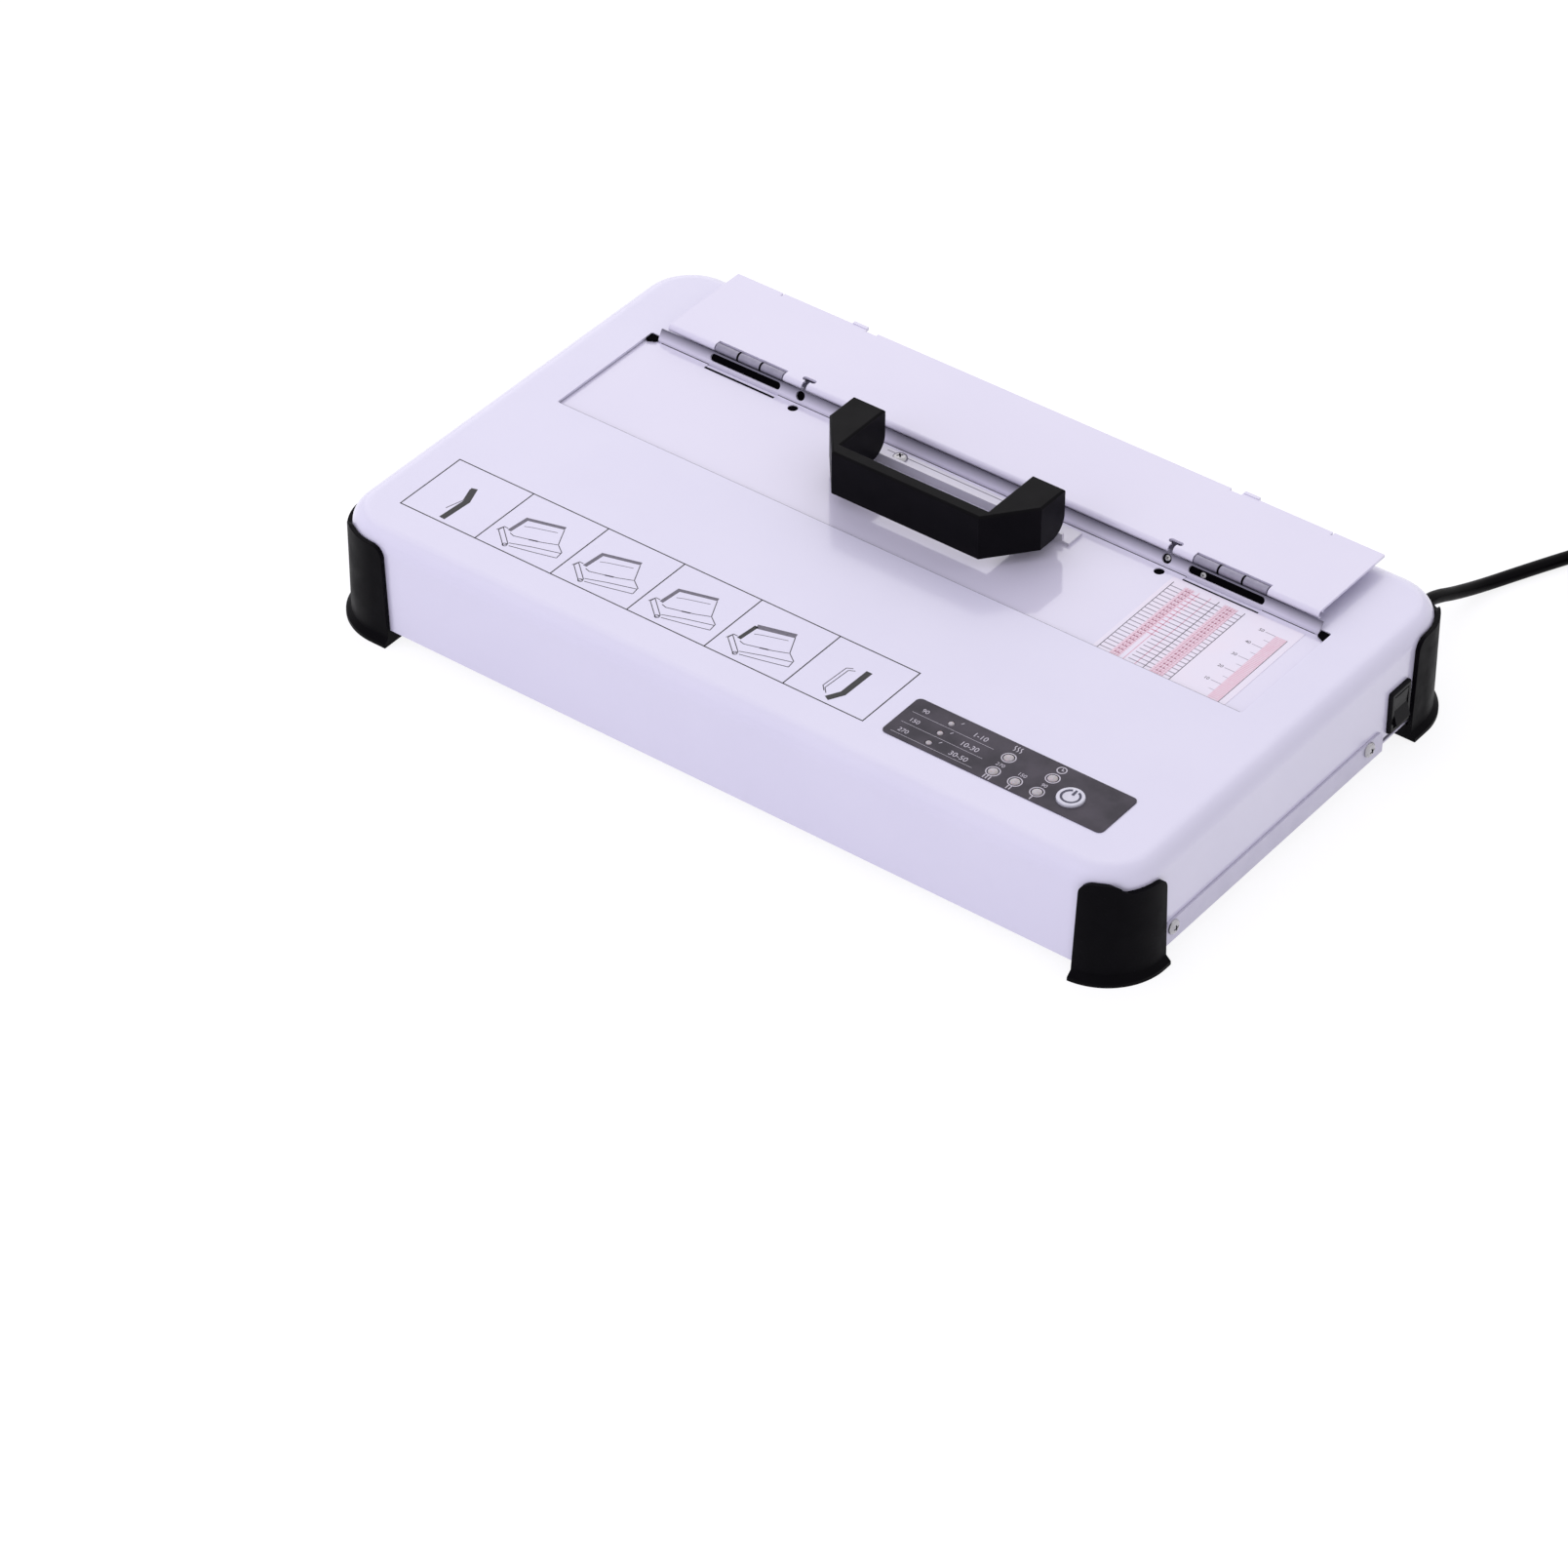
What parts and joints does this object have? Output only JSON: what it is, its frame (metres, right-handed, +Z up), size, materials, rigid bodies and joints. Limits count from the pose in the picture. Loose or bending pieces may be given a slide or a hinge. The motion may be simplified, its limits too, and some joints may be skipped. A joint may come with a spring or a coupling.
{
  "type": "thermal binding machine",
  "caption": "Low desktop machine that heats the glued spine of a cover, with a sliding clamp table, a lifting back support and a control panel.",
  "frame": {"origin": "floor level under the middle of the housing", "axes": "+X along the housing's width towards the side with the power switch, +Y from the control panel towards the rear, +Z up"},
  "size_m": [0.513, 0.4153, 0.0807],
  "materials": {
    "housing_paint": "glossy white",
    "table_paint": "glossy white",
    "foot_plastic": "matte black",
    "handle_plastic": "satin black",
    "panel_film": "dark grey film",
    "lamp_lens": "milky clear",
    "button_plastic": "satin dark grey",
    "zinc_steel": "zinc plated",
    "screw_steel": "nickel plated",
    "aluminium": "satin",
    "card_film": "coated white",
    "switch_plastic": "black",
    "circuit_board": "green laminate",
    "post_plastic": "natural nylon",
    "heater_ceramic": "unglazed",
    "transformer_tape": "yellow tape",
    "buffer_rubber": "matte",
    "cord_rubber": "satin black",
    "plug_brass": "nickel plated"
  },
  "bodies": {
    "frame": {"housing_cover": "housing_paint", "base_tray": "zinc_steel", "side_screws": "screw_steel", "foot_front_left": "foot_plastic", "foot_front_right": "foot_plastic", "foot_rear_left": "foot_plastic", "foot_rear_right": "foot_plastic", "foot_screws": "screw_steel", "guide_rail_left": "zinc_steel", "guide_rail_right": "zinc_steel", "rear_jaw": "zinc_steel", "jaw_brackets": "zinc_steel", "hinge_base_leaves": "screw_steel", "hinge_pins": "screw_steel", "hinge_rivets": "screw_steel", "flap_buffers": "buffer_rubber", "heater_plate": "aluminium", "heater_element": "heater_ceramic", "heater_carrier": "zinc_steel", "heater_posts": "post_plastic", "thermostat": "aluminium", "control_panel": "panel_film", "panel_lamps": "lamp_lens", "control_board": "circuit_board", "power_board": "circuit_board", "transformer": "transformer_tape", "board_posts": "post_plastic", "switch_frame": "switch_plastic", "cord_gland": "cord_rubber", "power_cord": "cord_rubber", "cord_coil": "cord_rubber", "plug": "cord_rubber", "plug_pins": "plug_brass"},
    "clamp": {"clamp_table": "table_paint", "front_jaw": "aluminium", "thickness_card": "card_film", "handle_bracket": "aluminium", "handle": "handle_plastic", "bracket_screws": "screw_steel"},
    "flap": {"back_support": "table_paint", "hinge_flap_leaves": "screw_steel"},
    "button": {"start_button": "button_plastic"},
    "rocker": {"switch_rocker": "switch_plastic"}
  },
  "joints": [
    {"name": "clamp_slide", "type": "slide", "parent": "frame", "child": "clamp", "axis": [0, -1, 0], "range_m": [0, 0.05]},
    {"name": "flap_hinge", "type": "hinge", "parent": "frame", "child": "flap", "pos_m": [0, 0.0695, 0.0593], "axis": [1, 0, 0], "range_deg": [0, 85]},
    {"name": "button_press", "type": "slide", "parent": "frame", "child": "button", "axis": [0, 0, -1], "range_m": [0, 0.0008], "stiffness_N_per_m": 900, "springref_m": -0.0006},
    {"name": "rocker_tilt", "type": "hinge", "parent": "frame", "child": "rocker", "pos_m": [0.2028, 0.0773, 0.0234], "axis": [0, 1, 0], "range_deg": [0, 14]}
  ]
}
